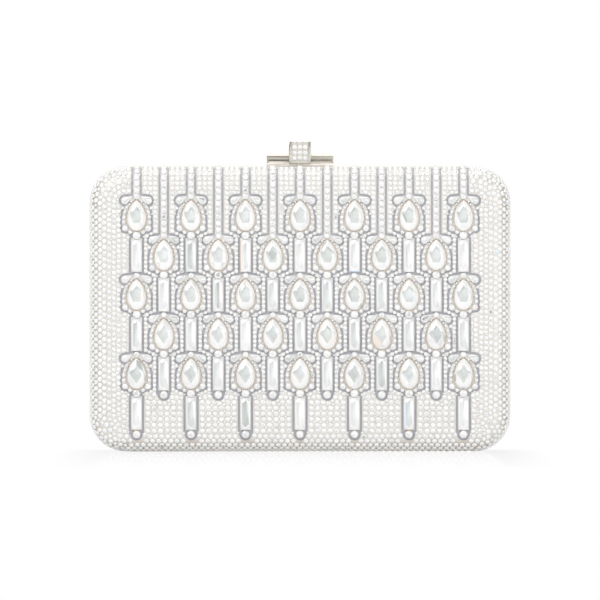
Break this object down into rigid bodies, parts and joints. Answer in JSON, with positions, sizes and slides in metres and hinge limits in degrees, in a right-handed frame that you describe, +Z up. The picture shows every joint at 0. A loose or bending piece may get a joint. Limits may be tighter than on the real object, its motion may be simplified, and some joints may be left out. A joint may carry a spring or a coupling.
{
  "type": "minaudiere",
  "caption": "Hard box clutch in two hinged metal halves, set all over with crystals, closed by a sliding cube clasp on a top rail.",
  "frame": {"origin": "bottom centre of the closed case, on the surface that it stands on", "axes": "+X along the width, to the right as seen from the front; -Y towards the front, which carries the crystal drops; +Z up towards the clasp"},
  "size_m": [0.186, 0.0379, 0.1372],
  "materials": {
    "rim_metal": "polished pale champagne plate",
    "clasp_metal": "polished pale nickel plate",
    "shell_enamel": "satin grey lacquer",
    "lining_leather": "soft silver-grey leather",
    "crystal": "foiled cut crystal",
    "small_crystal": "foiled small crystals",
    "cup_metal": "plated stone settings",
    "spring_steel": "spring steel"
  },
  "bodies": {
    "back_half": {"back_shell": "shell_enamel", "back_rim": "rim_metal", "back_lining": "lining_leather", "slip_pocket": "lining_leather", "back_pave_bed": "small_crystal", "back_base_band": "rim_metal", "back_band_rivets": "rim_metal", "back_hinge_leaf": "rim_metal", "back_hinge_rivets": "rim_metal", "hinge_pin": "spring_steel", "clasp_rail": "clasp_metal", "rail_pins": "clasp_metal"},
    "front_half": {"front_shell": "shell_enamel", "front_rim": "rim_metal", "front_lining": "lining_leather", "front_pave_bed": "small_crystal", "front_base_band": "rim_metal", "front_band_rivets": "rim_metal", "front_hinge_leaf": "rim_metal", "front_hinge_rivets": "rim_metal", "pear_stones": "crystal", "pear_cups": "cup_metal", "baguette_stones": "crystal", "leaf_stones": "crystal", "link_stones": "crystal", "halo_stones": "crystal", "strand_stones": "crystal", "catch_spring": "spring_steel", "catch_screws": "spring_steel"},
    "slider": {"clasp_slider": "clasp_metal", "slider_stones": "crystal", "latch_bolt": "clasp_metal", "friction_spring": "spring_steel", "stem_pin": "clasp_metal"}
  },
  "joints": [
    {"name": "lid_hinge", "type": "hinge", "parent": "back_half", "child": "front_half", "pos_m": [0, 0.001, 0.00155], "axis": [1, 0, 0], "range_deg": [0, 90], "deforming": ["catch_spring"]},
    {"name": "clasp_slide", "type": "slide", "parent": "back_half", "child": "slider", "axis": [1, 0, 0], "range_m": [-0.0085, 0.0085]}
  ]
}
